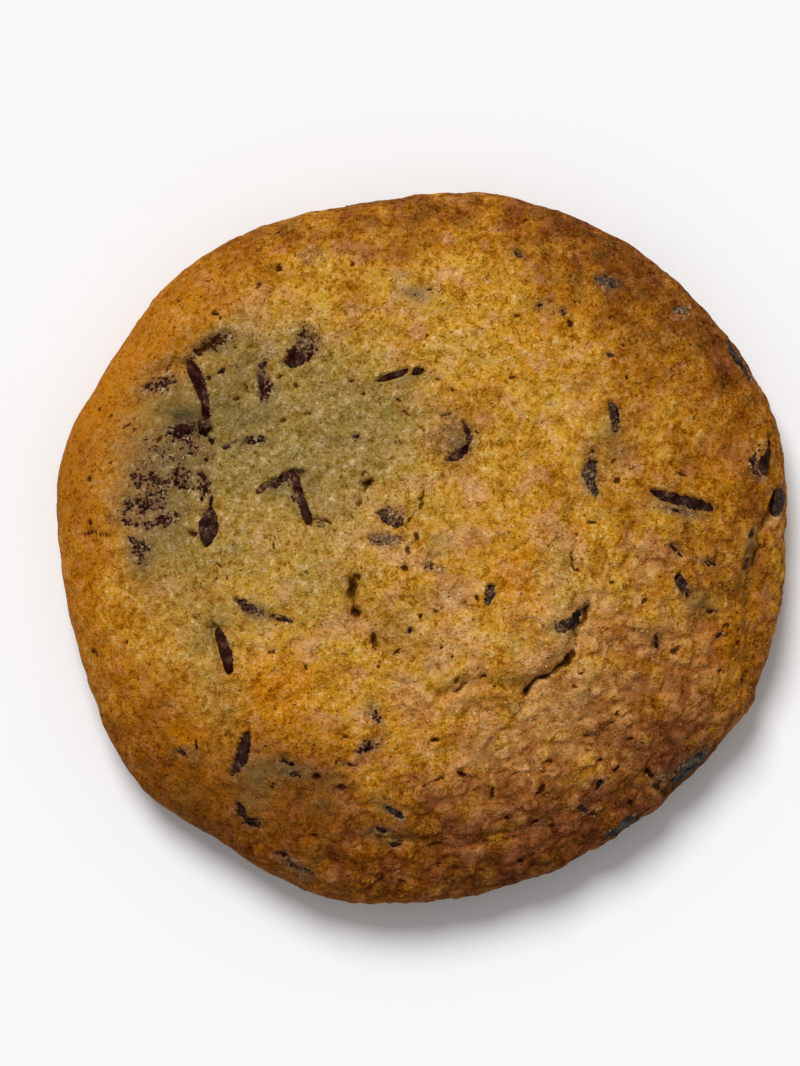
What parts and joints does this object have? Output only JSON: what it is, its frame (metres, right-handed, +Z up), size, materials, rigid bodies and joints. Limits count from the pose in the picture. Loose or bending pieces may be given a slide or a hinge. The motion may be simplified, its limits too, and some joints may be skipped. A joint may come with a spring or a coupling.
{
  "type": "chocolate chip cookie",
  "caption": "Round soft-baked chocolate chip cookie with a domed, cracked top, a puffed rim, broken dark chocolate set in the dough and a flat base.",
  "frame": {"origin": "middle of the flat base, on the surface that the cookie lies on", "axes": "+Z up out of the cookie's top, +X towards the side with the long rim chunks and the lip, +Y across the top"},
  "size_m": [0.0877, 0.0854, 0.0168],
  "materials": {
    "dough": "soft-baked cookie dough, golden brown, matte and crumbly",
    "chocolate": "dark chocolate, melted and set again, with a soft sheen"
  },
  "bodies": {
    "root": {"dough": "dough", "chunk_big": "chocolate", "chunk_black_slit": "chocolate", "chunk_cap_dot": "chocolate", "chunk_east": "chocolate", "chunk_forked": "chocolate", "chunk_in_crack": "chocolate", "chunk_maroon": "chocolate", "chunk_middle_east": "chocolate", "chunk_middle_lower": "chocolate", "chunk_middle_upper": "chocolate", "chunk_north": "chocolate", "chunk_north_east": "chocolate", "chunk_ridge": "chocolate", "chunk_rim_black": "chocolate", "chunk_rim_line": "chocolate", "chunk_rim_purple": "chocolate", "chunk_rim_south_east": "chocolate", "chunk_rim_thin": "chocolate", "chunk_south_bar": "chocolate", "chunk_south_bit": "chocolate", "chunk_south_sliver": "chocolate", "chunk_teardrop": "chocolate", "chunk_thin_upright": "chocolate", "chunk_under_lump": "chocolate", "chunk_upright": "chocolate", "chunk_west_bar": "chocolate", "chunk_west_shard": "chocolate"}
  },
  "joints": []
}
